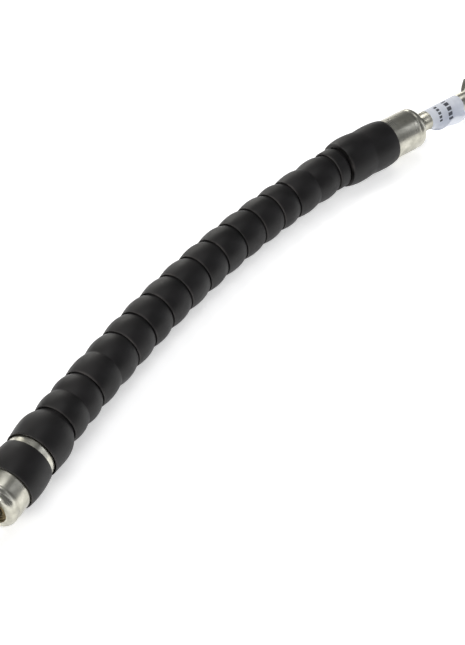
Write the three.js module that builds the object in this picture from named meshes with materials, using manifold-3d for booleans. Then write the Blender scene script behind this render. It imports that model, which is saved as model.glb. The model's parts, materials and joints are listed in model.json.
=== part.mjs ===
// Hydraulic hose assembly: a wire-braided hose with a crimped ferrule and a steel tube end on each
// side, armoured by a chain of loose beads that overlap like cups. Millimetres, +Z up. The assembly
// lies on a surface at z = 0, runs roughly along +X from its near end to its far end and bows to +Y.
import * as THREE from 'three';
import Module from 'manifold-3d';
import { mergeVertices } from 'three/addons/utils/BufferGeometryUtils.js';

const wasm = await Module();
wasm.setup();

// ---- driving dimensions -------------------------------------------------------------------------

const FACETS = 16; // flats round every turned piece, a multiple of four
const HOSE_FACETS = 10;
const GAP = 0.3; // between pieces that touch or seat on each other
const PLAY = 0.35; // between pieces that slide or rock in each other

const HOSE_BORE_R = 4.75; // size 10 hose
const LINER_WALL = 0.8;
const BRAID_WALL = 0.65;
const COVER_WALL = 1.2;
const HOSE_IN_FERRULE = 24;
const HOSE_STEPS = 28;

const TUBE_R = 5;
const TUBE_WALL = 1.5;
const TUBE_OUT = 58; // ferrule nose to the rim of the flare
const FLARE_RISE = 1.6; // rim of the flare over the tube
const FLARE_ANGLE = 37;

const FERRULE_WALL = 2.45;
const FERRULE_PAST_HOSE = 13;
const FERRULE_NOSE = 4.2; // length of the rounded nose
const NOSE_LIP_RISE = 1.25; // rolled lip over the nose's bore
const NOSE_RECESS = 1.8; // depth of the cup inside that lip
const GROOVE = 0.3; // the ring that the die leaves behind the nose
const POCKET_EXTRA = 0.5; // ferrule's bore past the hose's end
const STEM_WALL = 0.9; // under the barbs
const STEM_COLLAR_RISE = 1.1; // collar over the tube's radius, held in the ferrule's nose
const TUBE_SOCKET = 5.5; // ferrule's end back to the seat of tube and braze
const BARBS = 3;
const BARB_RISE = 0.45;

const BEAD_WALL = 0.65; // at the lip and at the tail
const BEAD_PLAY = 0.6; // hose to bead bore
const HUMP_RISE = 1.75; // crest of a bead over its tail
const VALLEY = 0.905; // of the crest's radius, between the humps of a double bead
const LIP_REACH = 2.2; // lip edge ahead of the rocking centre
const TAIL_REACH = 2.2; // tail end past the rocking centre
const TAIL_SHOWN = 1.0; // plain tail left between a hump's foot and the next lip
const FOOT_LENGTH = 0.9;
const FOOT_RISE = 0.65;
const BAND_DROP = 0.5; // the plain short bead is this much lower than a crest

const COLLAR_RISE = 1.15; // crest of the near end collar and the first bead over its bore
const COLLAR_LENGTH = 15;
const COLLAR_BEHIND = 5; // rocking centre of the first bead to the near end collar
const FERRULE_IN_BEAD = 5; // near ferrule's reach past that centre
const FERRULE_PLAY = 1.7; // from the ferrule's end to the step in the bead or collar on it
const FIRST_LIP_REACH = 1.5;
const FAR_COLLAR_EXTRA = 0.3; // the far collar's crest over the near one's
const FAR_COLLAR_EXPOSED = 32.6; // seam to free edge
const FAR_COLLAR_ON_FERRULE = 15.4;
const FAR_LIP_DROP = 1; // the far collar's lip under its crest
const FAR_CREST_DROP = 0.25; // its second crest under its first
const FAR_VALLEY_WALL = 0.85;
const FAR_EDGE_WALL = 0.4;

const SLEEVE_LENGTH = 12.5;
const SLEEVE_FLANGE_RISE = 1.9; // flange over the tube's radius
const SLEEVE_FLANGE = 4;
const NUT_LENGTH = 19;
const NUT_PAST_FLARE = 7;
const NUT_WALL = 2.2; // thread to flat

const LABEL_FROM_NOSE = 9.2;
const LABEL_LENGTH = 23.5;
const LABEL_DROP = 6.8; // length of the flag past the wrap
const LABEL_SWING = -48; // degrees from straight down, towards the inside of the bend
const LABEL_THICK = 0.5;

// Each bead from the near end: distance from seam to seam, and its humps.
const BEADS = [
  { pitch: 18.4, humps: 1, first: true },
  { pitch: 23.1, humps: 2 },
  { pitch: 28.6, humps: 2 },
  { pitch: 14.1, humps: 1 },
  { pitch: 14.4, humps: 1 },
  { pitch: 14.9, humps: 1 },
  { pitch: 15.2, humps: 1 },
  { pitch: 14.5, humps: 1 },
  { pitch: 14.9, humps: 1 },
  { pitch: 14.9, humps: 1 },
  { pitch: 14.4, humps: 1 },
  { pitch: 13.0, humps: 1 },
  { pitch: 29.9, humps: 2 },
  { pitch: 8.3, humps: 0 },
];

// The lie: heading in degrees from +X after a length s of armour, s in bead diameters.
const START_HEADING = 12;
const TURN = 1.2;
const TURN_GROWTH = 0.085;
const headingAt = (s) => {
  const d = s / (2 * BEAD_R);
  return START_HEADING - TURN * d - TURN_GROWTH * d * d;
};
// How far each rocking centre is raised from a bead's height to an end collar's, from each end in.
const NEAR_RAISE = [1, 1, 0.45];
const FAR_RAISE = [1, 0.88, 0.12];

// ---- sizes that follow --------------------------------------------------------------------------

const LINER_R = HOSE_BORE_R + LINER_WALL;
const BRAID_IN_R = LINER_R + GAP;
const BRAID_R = BRAID_IN_R + BRAID_WALL;
const COVER_IN_R = BRAID_R + GAP;
const HOSE_R = COVER_IN_R + COVER_WALL;

const BEAD_BORE_R = HOSE_R + BEAD_PLAY;
const TAIL_R = BEAD_BORE_R + BEAD_WALL;
const BEAD_R = TAIL_R + HUMP_RISE;
const MOUTH_R = TAIL_R + PLAY;
const MOUTH_DEPTH = TAIL_REACH + 1.4; // the tail swings this far in as it rocks
const MOUTH_TAPER = 1.2;
const MOUTH_FLARE = 0.15; // the mouth is this much wider at its lip

const BARB_R = HOSE_BORE_R - GAP;
const BARB_ROOT_R = BARB_R - BARB_RISE;
const STEM_BORE_R = BARB_ROOT_R - STEM_WALL;
const STEM_COLLAR_R = TUBE_R + STEM_COLLAR_RISE;
const NOSE_BORE_R = STEM_COLLAR_R + PLAY;
const FERRULE_BORE_R = HOSE_R + PLAY;
const FERRULE_R = FERRULE_BORE_R + FERRULE_WALL;
const FERRULE_LENGTH = HOSE_IN_FERRULE + FERRULE_PAST_HOSE;
const SOCKET_AT = FERRULE_LENGTH - TUBE_SOCKET;
const COLLAR_BORE_R = FERRULE_R + PLAY;
const COLLAR_R = COLLAR_BORE_R + COLLAR_RISE;
const FAR_COLLAR_R = COLLAR_R + FAR_COLLAR_EXTRA;

const SLOPE = Math.tan(THREE.MathUtils.degToRad(FLARE_ANGLE));
const FLARE_LENGTH = FLARE_RISE / SLOPE;
const SLEEVE_BORE_R = TUBE_R + GAP;
const SLEEVE_FLANGE_R = TUBE_R + SLEEVE_FLANGE_RISE;
const SLEEVE_R = SLEEVE_FLANGE_R - 0.7;
const NUT_BACK_R = SLEEVE_R + GAP;
const NUT_THREAD_R = SLEEVE_FLANGE_R + 0.4;
const NUT_FLATS = 2 * (NUT_THREAD_R + NUT_WALL);

// ---- making and placing -------------------------------------------------------------------------

// A closed outline of [along, radius] points turned about +X, outer points from tail to head first.
function turned(outline, facets = FACETS) {
  const points = [...outline, outline[0]].map(([along, radius]) => new THREE.Vector2(radius, along));
  return new THREE.LatheGeometry(points, facets).rotateZ(-Math.PI / 2);
}

function asSolid(geometry) {
  const bare = geometry.index ? geometry.toNonIndexed() : geometry;
  bare.deleteAttribute('normal');
  bare.deleteAttribute('uv');
  const merged = mergeVertices(bare, 1e-4);
  return new wasm.Manifold(
    new wasm.Mesh({
      numProp: 3,
      vertProperties: merged.attributes.position.array,
      triVerts: new Uint32Array(merged.index.array),
    }),
  );
}

function asGeometry(solid) {
  const mesh = solid.getMesh();
  const geometry = new THREE.BufferGeometry();
  geometry.setAttribute('position', new THREE.BufferAttribute(mesh.vertProperties, 3));
  geometry.setIndex(new THREE.BufferAttribute(mesh.triVerts, 1));
  geometry.computeVertexNormals();
  return geometry;
}

const finishes = {
  moulded: { color: 0x1f1f20, roughness: 0.55, metalness: 0 },
  rubber: { color: 0x161616, roughness: 0.8, metalness: 0 },
  wire: { color: 0x9a9488, roughness: 0.45, metalness: 1 },
  plated: { color: 0xb8b5a5, roughness: 0.35, metalness: 1 },
  brass: { color: 0x8a6a3a, roughness: 0.5, metalness: 1 },
  darkNut: { color: 0x6a5f50, roughness: 0.45, metalness: 1 },
  film: { color: 0xc8ccd6, roughness: 0.5, metalness: 0 },
};

const assembly = new THREE.Group();

function add(parent, name, geometry, finish, along = 0) {
  const mesh = new THREE.Mesh(geometry, new THREE.MeshStandardMaterial(finishes[finish]));
  mesh.name = name;
  mesh.position.x = along;
  parent.add(mesh);
  return mesh;
}

// A group at a point whose +X runs to another point.
function frameAlong(from, to) {
  const group = new THREE.Group();
  const run = to.clone().sub(from).normalize();
  group.position.copy(from);
  group.rotation.order = 'ZYX';
  group.rotation.set(0, -Math.asin(run.z), Math.atan2(run.y, run.x));
  assembly.add(group);
  return group;
}

// ---- the lie of the chain: one rocking centre where each bead meets the one before it ------------

function rockingCentres() {
  const count = BEADS.length + 1;
  const height = (i) => {
    const near = NEAR_RAISE[i] ?? 0;
    const far = FAR_RAISE[count - 1 - i] ?? 0;
    return BEAD_R + near * (COLLAR_R - BEAD_R) + far * (FAR_COLLAR_R - BEAD_R);
  };
  const centres = [new THREE.Vector3(0, 0, height(0))];
  let s = 0;
  BEADS.forEach(({ pitch }, i) => {
    const heading = THREE.MathUtils.degToRad(headingAt(s + pitch / 2));
    const rise = height(i + 1) - height(i);
    const flat = Math.sqrt(pitch * pitch - rise * rise);
    const step = new THREE.Vector3(flat * Math.cos(heading), flat * Math.sin(heading), rise);
    centres.push(centres[i].clone().add(step));
    s += pitch;
  });
  return centres;
}

const centres = rockingCentres();
const armour = BEADS.reduce((sum, { pitch }) => sum + pitch, 0);
const level = (degrees) => {
  const angle = THREE.MathUtils.degToRad(degrees);
  return new THREE.Vector3(Math.cos(angle), Math.sin(angle), 0);
};
const nearRun = level(headingAt(0));
const farRun = level(headingAt(armour + FAR_COLLAR_EXPOSED / 2));
const firstCentre = centres[0];
const lastCentre = centres.at(-1);

// ---- armour -------------------------------------------------------------------------------------

const CREST = [0.25, 0.5, 0.75];

// Points over one hump from x0 to x1: r0 at its start, r1 at its end, the crest between them.
function hump(x0, r0, x1, r1, crest) {
  return CREST.map((t) => {
    const edge = THREE.MathUtils.lerp(r0, r1, t);
    return [THREE.MathUtils.lerp(x0, x1, t), edge + (crest - edge) * 4 * t * (1 - t)];
  });
}

function beadOutline({ pitch, humps }) {
  const foot = pitch - LIP_REACH - TAIL_SHOWN;
  const brow = foot - FOOT_LENGTH;
  const browR = TAIL_R + FOOT_RISE;
  const lip = [-LIP_REACH, MOUTH_R + MOUTH_FLARE + BEAD_WALL];
  const outer = [lip];
  if (humps === 0) {
    const bandR = BEAD_R - BAND_DROP;
    outer.push([-LIP_REACH + 0.5, bandR], [brow, bandR]);
  } else if (humps === 1) {
    outer.push(...hump(lip[0], lip[1], brow, browR, BEAD_R), [brow, browR]);
  } else {
    const middle = (lip[0] + brow) / 2;
    const valleyR = BEAD_R * VALLEY;
    outer.push(...hump(lip[0], lip[1], middle, valleyR, BEAD_R), [middle, valleyR]);
    outer.push(...hump(middle, valleyR, brow, browR, BEAD_R), [brow, browR]);
  }
  return [
    ...outer,
    [foot, TAIL_R],
    [pitch + TAIL_REACH, TAIL_R],
    [pitch + TAIL_REACH, BEAD_BORE_R],
    [MOUTH_DEPTH + MOUTH_TAPER, BEAD_BORE_R],
    [MOUTH_DEPTH, MOUTH_R],
    [-LIP_REACH, MOUTH_R + MOUTH_FLARE],
  ];
}

// The first bead's mouth takes the ferrule's end, its tail is any bead's.
function firstBeadOutline({ pitch }) {
  const foot = pitch - LIP_REACH - TAIL_SHOWN;
  const brow = foot - FOOT_LENGTH;
  const browR = TAIL_R + FOOT_RISE;
  const mouthR = COLLAR_BORE_R + MOUTH_FLARE;
  const depth = FERRULE_IN_BEAD + FERRULE_PLAY;
  const neck = mouthR - BEAD_BORE_R; // a 45 degree step down to the hose
  const lipR = mouthR + BEAD_WALL;
  return [
    [-FIRST_LIP_REACH, lipR],
    ...hump(-FIRST_LIP_REACH, lipR, brow, browR, COLLAR_R),
    [brow, browR],
    [foot, TAIL_R],
    [pitch + TAIL_REACH, TAIL_R],
    [pitch + TAIL_REACH, BEAD_BORE_R],
    [depth + neck, BEAD_BORE_R],
    [depth, mouthR],
    [-FIRST_LIP_REACH, mouthR],
  ];
}

function nearCollarOutline() {
  const edgeR = COLLAR_BORE_R + BEAD_WALL;
  return [
    [0, edgeR],
    ...hump(0, edgeR, COLLAR_LENGTH, edgeR, COLLAR_R),
    [COLLAR_LENGTH, edgeR],
    [COLLAR_LENGTH, COLLAR_BORE_R],
    [0, COLLAR_BORE_R],
  ];
}

function farCollarOutline() {
  const end = FAR_COLLAR_EXPOSED - LIP_REACH;
  const step = end - FAR_COLLAR_ON_FERRULE - FERRULE_PLAY;
  const neck = COLLAR_BORE_R - BEAD_BORE_R;
  const middle = (end - LIP_REACH) / 2;
  const lipR = FAR_COLLAR_R - FAR_LIP_DROP;
  const valleyR = COLLAR_BORE_R + FAR_VALLEY_WALL;
  const edgeR = COLLAR_BORE_R + FAR_EDGE_WALL;
  return [
    [-LIP_REACH, lipR],
    ...hump(-LIP_REACH, lipR, middle, valleyR, FAR_COLLAR_R),
    [middle, valleyR],
    ...hump(middle, valleyR, end, edgeR, FAR_COLLAR_R - FAR_CREST_DROP),
    [end, edgeR],
    [end, COLLAR_BORE_R],
    [step, COLLAR_BORE_R],
    [step - neck, BEAD_BORE_R],
    [MOUTH_DEPTH + MOUTH_TAPER, BEAD_BORE_R],
    [MOUTH_DEPTH, MOUTH_R],
    [-LIP_REACH, MOUTH_R + MOUTH_FLARE],
  ];
}

function addArmour() {
  BEADS.forEach((bead, i) => {
    const name = `bead_${String(i + 2).padStart(2, '0')}`;
    const outline = bead.first ? firstBeadOutline(bead) : beadOutline(bead);
    add(frameAlong(centres[i], centres[i + 1]), name, turned(outline), 'moulded');
  });
}

// ---- hose ---------------------------------------------------------------------------------------

function hosePath(nearFrom, farTo) {
  const points = [
    firstCentre.clone().addScaledVector(nearRun, -nearFrom),
    firstCentre.clone().addScaledVector(nearRun, -nearFrom / 2),
    ...centres,
    lastCentre.clone().addScaledVector(farRun, farTo / 2),
    lastCentre.clone().addScaledVector(farRun, farTo),
  ];
  return new THREE.CatmullRomCurve3(points, false, 'centripetal');
}

function layer(path, innerR, outerR) {
  const ring = (radius) =>
    Array.from({ length: HOSE_FACETS }, (_, i) => {
      const angle = (i / HOSE_FACETS) * 2 * Math.PI;
      return new THREE.Vector2(radius * Math.cos(angle), radius * Math.sin(angle));
    });
  const section = new THREE.Shape(ring(outerR));
  section.holes.push(new THREE.Path(ring(innerR).reverse()));
  return new THREE.ExtrudeGeometry(section, { steps: HOSE_STEPS, extrudePath: path });
}

function addHose(nearFrom, farTo) {
  const path = hosePath(nearFrom, farTo);
  add(assembly, 'hose_liner', layer(path, HOSE_BORE_R, LINER_R), 'rubber');
  add(assembly, 'hose_braid', layer(path, BRAID_IN_R, BRAID_R), 'wire');
  add(assembly, 'hose_cover', layer(path, COVER_IN_R, HOSE_R), 'rubber');
}

// ---- end fittings, each in a frame whose +X runs out of the hose, 0 at the ferrule's hose side ----

function ferruleOutline() {
  const nose = FERRULE_LENGTH - FERRULE_NOSE;
  const shoulder = nose + 1;
  const shoulderR = FERRULE_R - 0.1;
  const grooveR = FERRULE_R - GROOVE;
  const lipR = NOSE_BORE_R + NOSE_LIP_RISE;
  const recessR = (NOSE_BORE_R + lipR) / 2;
  const recess = FERRULE_LENGTH - NOSE_RECESS;
  const rounding = [0.35, 0.65, 0.88].map((t) => [
    shoulder + (FERRULE_LENGTH - shoulder) * Math.sin((t * Math.PI) / 2),
    lipR + (shoulderR - lipR) * Math.cos((t * Math.PI) / 2),
  ]);
  const pocket = HOSE_IN_FERRULE + POCKET_EXTRA;
  return [
    [0, FERRULE_R - GROOVE],
    [GROOVE, FERRULE_R],
    [nose - 1.2, FERRULE_R],
    [nose - 0.7, grooveR],
    [nose + 0.1, grooveR],
    [shoulder, shoulderR],
    ...rounding,
    [FERRULE_LENGTH, lipR],
    [FERRULE_LENGTH, recessR],
    [recess, recessR],
    [recess, NOSE_BORE_R],
    [pocket, NOSE_BORE_R],
    [pocket, FERRULE_BORE_R],
    [0, FERRULE_BORE_R],
  ];
}

function stemOutline() {
  const pitch = HOSE_IN_FERRULE / (BARBS + 1);
  const tip = pitch / 2;
  const collar = HOSE_IN_FERRULE + POCKET_EXTRA + GAP;
  const barbs = Array.from({ length: BARBS }, (_, i) => pitch * (i + 0.83)).flatMap((from) => [
    [from, BARB_ROOT_R],
    [from + pitch * 0.75, BARB_R],
    [from + pitch * 0.77, BARB_ROOT_R],
  ]);
  return [
    [tip, STEM_BORE_R + STEM_WALL / 2],
    ...barbs,
    [collar, BARB_ROOT_R],
    [collar, STEM_COLLAR_R],
    [SOCKET_AT, STEM_COLLAR_R],
    [SOCKET_AT, STEM_BORE_R],
    [tip, STEM_BORE_R],
  ];
}

function brazeOutline() {
  const inR = TUBE_R + GAP;
  const top = FERRULE_LENGTH - NOSE_RECESS + 0.2;
  return [
    [SOCKET_AT + GAP, STEM_COLLAR_R],
    [top - 0.7, STEM_COLLAR_R],
    [top - 0.2, inR + 0.35],
    [top, inR],
    [SOCKET_AT + GAP, inR],
  ];
}

function tubeOutline() {
  const from = SOCKET_AT + GAP;
  const rim = FERRULE_LENGTH + TUBE_OUT;
  const flareR = TUBE_R + FLARE_RISE;
  const boreR = TUBE_R - TUBE_WALL;
  return [
    [from, TUBE_R],
    [rim - FLARE_LENGTH, TUBE_R],
    [rim, flareR],
    [rim + 0.5, flareR - 0.4],
    [rim + 0.5, flareR - 1.1],
    [rim - FLARE_LENGTH + 0.2, boreR],
    [from, boreR],
  ];
}

// Sleeve and nut are turned with the flare's rim at 0.
function sleeveOutline() {
  const seat = (radius) => -FLARE_LENGTH + (radius - SLEEVE_BORE_R) / SLOPE - 0.1;
  const face = seat(SLEEVE_FLANGE_R - 0.5);
  return [
    [face - SLEEVE_LENGTH, SLEEVE_R],
    [face - SLEEVE_FLANGE - 0.7, SLEEVE_R],
    [face - SLEEVE_FLANGE, SLEEVE_FLANGE_R],
    [face, SLEEVE_FLANGE_R],
    [face, SLEEVE_FLANGE_R - 0.5],
    [seat(SLEEVE_BORE_R), SLEEVE_BORE_R],
    [face - SLEEVE_LENGTH, SLEEVE_BORE_R],
  ];
}

function nutGeometry() {
  const front = NUT_PAST_FLARE;
  const back = front - NUT_LENGTH;
  const cornerR = NUT_FLATS / Math.sqrt(3);
  const hexagon = new THREE.CylinderGeometry(cornerR, cornerR, NUT_LENGTH, 6);
  hexagon.rotateZ(-Math.PI / 2).translate((front + back) / 2, 0, 0);
  const rounded = turned([
    [back, 0],
    [back, NUT_FLATS / 2 - 0.6],
    [back + 1.4, cornerR + 0.1],
    [front - 0.9, cornerR + 0.1],
    [front, NUT_FLATS / 2 - 0.2],
    [front, 0],
  ]);
  const shoulder = sleeveOutline()[2][0] - PLAY - 0.7;
  const bore = turned([
    [back - 1, 0],
    [back - 1, NUT_BACK_R],
    [shoulder, NUT_BACK_R],
    [shoulder + 0.8, NUT_THREAD_R],
    [front - 0.6, NUT_THREAD_R],
    [front + 1, NUT_THREAD_R + 1.6],
    [front + 1, 0],
  ]);
  return asGeometry(asSolid(hexagon).intersect(asSolid(rounded)).subtract(asSolid(bore)));
}

function addEnd(side, at, run) {
  const frame = frameAlong(at, at.clone().add(run));
  const rim = FERRULE_LENGTH + TUBE_OUT;
  add(frame, `${side}_ferrule`, turned(ferruleOutline()), 'plated');
  add(frame, `${side}_stem`, turned(stemOutline()), 'plated');
  add(frame, `${side}_braze_ring`, turned(brazeOutline()), 'brass');
  add(frame, `${side}_tube`, turned(tubeOutline()), 'plated');
  add(frame, `${side}_sleeve`, turned(sleeveOutline()), 'plated', rim);
  add(frame, `${side}_nut`, nutGeometry(), 'darkNut', rim);
  return frame;
}

// A film label wrapped round the tube, its two ends pressed together into a hanging flag.
function labelGeometry() {
  const innerR = TUBE_R + GAP;
  const outerR = innerR + LABEL_THICK;
  const half = LABEL_THICK;
  const start = Math.asin(half / outerR);
  const outline = new THREE.Shape();
  outline.absarc(0, 0, outerR, start, 2 * Math.PI - start, false);
  outline.lineTo(outerR + LABEL_DROP, -half);
  outline.lineTo(outerR + LABEL_DROP, half);
  outline.closePath();
  const hole = new THREE.Path();
  hole.absarc(0, 0, innerR, 0, 2 * Math.PI, true);
  outline.holes.push(hole);
  const steps = { depth: LABEL_LENGTH, bevelEnabled: false, curveSegments: 8 };
  return new THREE.ExtrudeGeometry(outline, steps);
}

function addLabel(frame) {
  const label = add(frame, 'tube_label', labelGeometry(), 'film', FERRULE_LENGTH + LABEL_FROM_NOSE);
  // the section's plane is turned across the tube, its flag hanging to one side
  label.rotation.set(THREE.MathUtils.degToRad(LABEL_SWING), Math.PI / 2, 0);
}

// ---- assembly -----------------------------------------------------------------------------------

addArmour();

const nearAt = firstCentre.clone().addScaledVector(nearRun, FERRULE_IN_BEAD);
addEnd('near', nearAt, nearRun.clone().negate());
const collarAt = firstCentre.clone().addScaledVector(nearRun, -COLLAR_BEHIND - COLLAR_LENGTH);
add(frameAlong(collarAt, firstCentre), 'near_collar', turned(nearCollarOutline()), 'moulded');

const farFerrule = FAR_COLLAR_EXPOSED - LIP_REACH - FAR_COLLAR_ON_FERRULE;
const farAt = lastCentre.clone().addScaledVector(farRun, farFerrule);
const farFrame = addEnd('far', farAt, farRun);
addLabel(farFrame);
add(frameAlong(lastCentre, farAt), 'far_collar', turned(farCollarOutline()), 'moulded');

addHose(HOSE_IN_FERRULE - FERRULE_IN_BEAD, farFerrule + HOSE_IN_FERRULE);

// the origin goes to the middle of the footprint
const extent = new THREE.Box3().setFromObject(assembly, true);
const middle = extent.getCenter(new THREE.Vector3());
assembly.position.set(-middle.x, -middle.y, -extent.min.z);
assembly.updateMatrixWorld(true);

export default assembly;
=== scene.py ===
# %% [markdown]
# # An armoured hydraulic hose
# A wire-braided rubber hose carries oil under pressure. Each end is crimped into a steel ferrule with
# a tube brazed into its nose, and the tube's flare is pulled onto its port by a loose nut. Between
# the ferrules the hose wears an armour of black beads that sit in each other like cups, so that the
# chain bends but cannot kink. This lesson builds the looks of that assembly around its moving frame.
# The frame says where every piece is and what it moves with, so no piece is placed by eye.

import json
import math

import bmesh
import bpy
from mathutils import Matrix, Vector


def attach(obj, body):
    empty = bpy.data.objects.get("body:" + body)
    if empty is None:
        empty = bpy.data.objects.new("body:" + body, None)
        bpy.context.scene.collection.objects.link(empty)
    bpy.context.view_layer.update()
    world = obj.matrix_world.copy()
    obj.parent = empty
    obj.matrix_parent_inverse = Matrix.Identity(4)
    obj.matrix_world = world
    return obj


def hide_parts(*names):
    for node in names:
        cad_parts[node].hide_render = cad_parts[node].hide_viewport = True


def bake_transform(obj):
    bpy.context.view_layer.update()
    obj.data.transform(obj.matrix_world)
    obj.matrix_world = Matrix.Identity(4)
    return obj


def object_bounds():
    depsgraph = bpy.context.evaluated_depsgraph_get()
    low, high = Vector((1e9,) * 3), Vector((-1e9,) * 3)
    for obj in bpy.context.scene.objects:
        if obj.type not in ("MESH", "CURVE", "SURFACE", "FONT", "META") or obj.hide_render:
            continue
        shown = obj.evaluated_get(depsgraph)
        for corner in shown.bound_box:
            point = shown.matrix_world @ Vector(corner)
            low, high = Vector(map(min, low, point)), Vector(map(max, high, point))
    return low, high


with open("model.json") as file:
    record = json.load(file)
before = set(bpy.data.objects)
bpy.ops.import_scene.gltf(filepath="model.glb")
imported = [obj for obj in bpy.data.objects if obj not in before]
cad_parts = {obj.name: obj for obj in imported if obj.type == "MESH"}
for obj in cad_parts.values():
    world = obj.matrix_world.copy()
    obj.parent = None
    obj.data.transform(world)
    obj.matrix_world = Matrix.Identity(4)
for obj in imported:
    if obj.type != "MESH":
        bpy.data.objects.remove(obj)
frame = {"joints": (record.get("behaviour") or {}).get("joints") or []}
cad_low, cad_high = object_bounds()
joints = {joint["name"]: joint for joint in frame["joints"]}

# %% [markdown]
# ## The camera
# The camera comes first, because every later choice is judged through it. It stands over the near
# end and looks along the chain, well above it. A 72 mm lens keeps the far end from shrinking much.

# %% Camera
CAMERA_FROM_FIRST_BEAD = Vector((-0.2274, -0.271, 0.3927))  # metres
CAMERA_HEADING = 37.0  # degrees from +X, seen from above
CAMERA_DIP = 43.0  # degrees below the horizon
CAMERA_LENS = 72.56  # mm, on a 36 mm sensor


def pointing(heading, dip):
    """The unit vector with that heading and dip, both in degrees."""
    h, d = math.radians(heading), math.radians(dip)
    return Vector((math.cos(h) * math.cos(d), math.sin(h) * math.cos(d), -math.sin(d)))


camera_data = bpy.data.cameras.new("product_camera")
camera = bpy.data.objects.new("product_camera", camera_data)
bpy.context.scene.collection.objects.link(camera)
camera_data.lens = CAMERA_LENS
camera_data.sensor_width = 36.0
camera_data.sensor_fit = "AUTO"
camera_data.clip_start, camera_data.clip_end = 0.01, 20.0
camera.location = Vector(joints["bead_02_rock"]["pos_m"]) + CAMERA_FROM_FIRST_BEAD
camera.rotation_mode = "QUATERNION"
camera.rotation_quaternion = pointing(CAMERA_HEADING, CAMERA_DIP).to_track_quat("-Z", "Y")
bpy.context.scene.camera = camera
print("camera at", [round(c, 4) for c in camera.location])

# %% [markdown]
# ## Colour and node helpers
# Colours are written as the hex values that a paint program shows. Shaders work in linear light, so
# one function turns them. One more function adds a shader or geometry node with its settings and
# links, which keeps each material short enough to read as a recipe.

# %% Helpers for colours and nodes
MM = 0.001


def linear(hex_colour):
    """sRGB hex to linear RGBA."""
    def channel(c):
        return c / 12.92 if c <= 0.04045 else ((c + 0.055) / 1.055) ** 2.4
    value = hex_colour.lstrip("#")
    return tuple(channel(int(value[i:i + 2], 16) / 255) for i in (0, 2, 4)) + (1.0,)


def add_node(tree, kind, settings=None, **inputs):
    """A node of that kind. settings are its properties, inputs its sockets by name or number (as n0, n1),
    and each is given a value or the output socket that feeds it."""
    made = tree.nodes.new(kind)
    for name, value in (settings or {}).items():
        setattr(made, name, value)
    for name, value in inputs.items():
        key = int(name[1:]) if name[0] == "n" and name[1:].isdigit() else name.replace("_", " ")
        socket = made.inputs[key]
        if isinstance(value, bpy.types.NodeSocket):
            tree.links.new(value, socket)
        else:
            socket.default_value = value
    return made


def new_material(name):
    """An empty node material with its shader and output, and the piece's own coordinates."""
    material = bpy.data.materials.new(name)
    material.use_nodes = True
    tree = material.node_tree
    tree.nodes.clear()
    shader = add_node(tree, "ShaderNodeBsdfPrincipled")
    output = add_node(tree, "ShaderNodeOutputMaterial")
    tree.links.new(shader.outputs["BSDF"], output.inputs["Surface"])
    place = add_node(tree, "ShaderNodeTexCoord").outputs["Object"]
    return material, tree, shader, place


print("middle grey, #808080, is", round(linear("#808080")[0], 3), "in linear light")

# %% [markdown]
# ## Where things are
# Each rocking joint of the frame stands at the centre of a bead's socket, so the joints themselves
# give the chain: bead after bead runs from one centre to the next. The two ferrules lie on straight
# lines at the chain's ends, and the axes of the sliding collar and the far nut give those lines.

# %% Centres and directions
FERRULE_IN_BEAD = 5.0  # mm past the first centre
FAR_FERRULE_AT = 15.0  # mm past the last centre
COLLAR_BEHIND = 5.0
COLLAR_LENGTH = 15.0

rocks = [joint for joint in frame["joints"] if joint["name"].endswith("_rock")]
centres = [Vector(joint["pos_m"]) for joint in rocks]
near_run = Vector(joints["collar_slide"]["axis"]).normalized()
far_run = Vector(joints["far_nut_turn"]["axis"]).normalized()
runs = [(b - a).normalized() for a, b in zip(centres, centres[1:])] + [far_run]
near_start = centres[0] + near_run * FERRULE_IN_BEAD * MM
far_start = centres[-1] + far_run * FAR_FERRULE_AT * MM
near_rim = Vector(joints["near_nut_turn"]["pos_m"])
far_rim = Vector(joints["far_nut_turn"]["pos_m"])
pitches = [(b - a).length / MM for a, b in zip(centres, centres[1:])]
print("seam to seam, mm:", [round(p, 1) for p in pitches])


def standing_at(origin, run):
    """A matrix that puts a piece's own Z along run, with its own X as near to straight up as it goes."""
    across = Vector((0, 0, 1)).cross(run).normalized()
    up = run.cross(across).normalized()
    turned = Matrix((up, across, run)).transposed().to_4x4()
    turned.translation = origin
    return turned
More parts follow.
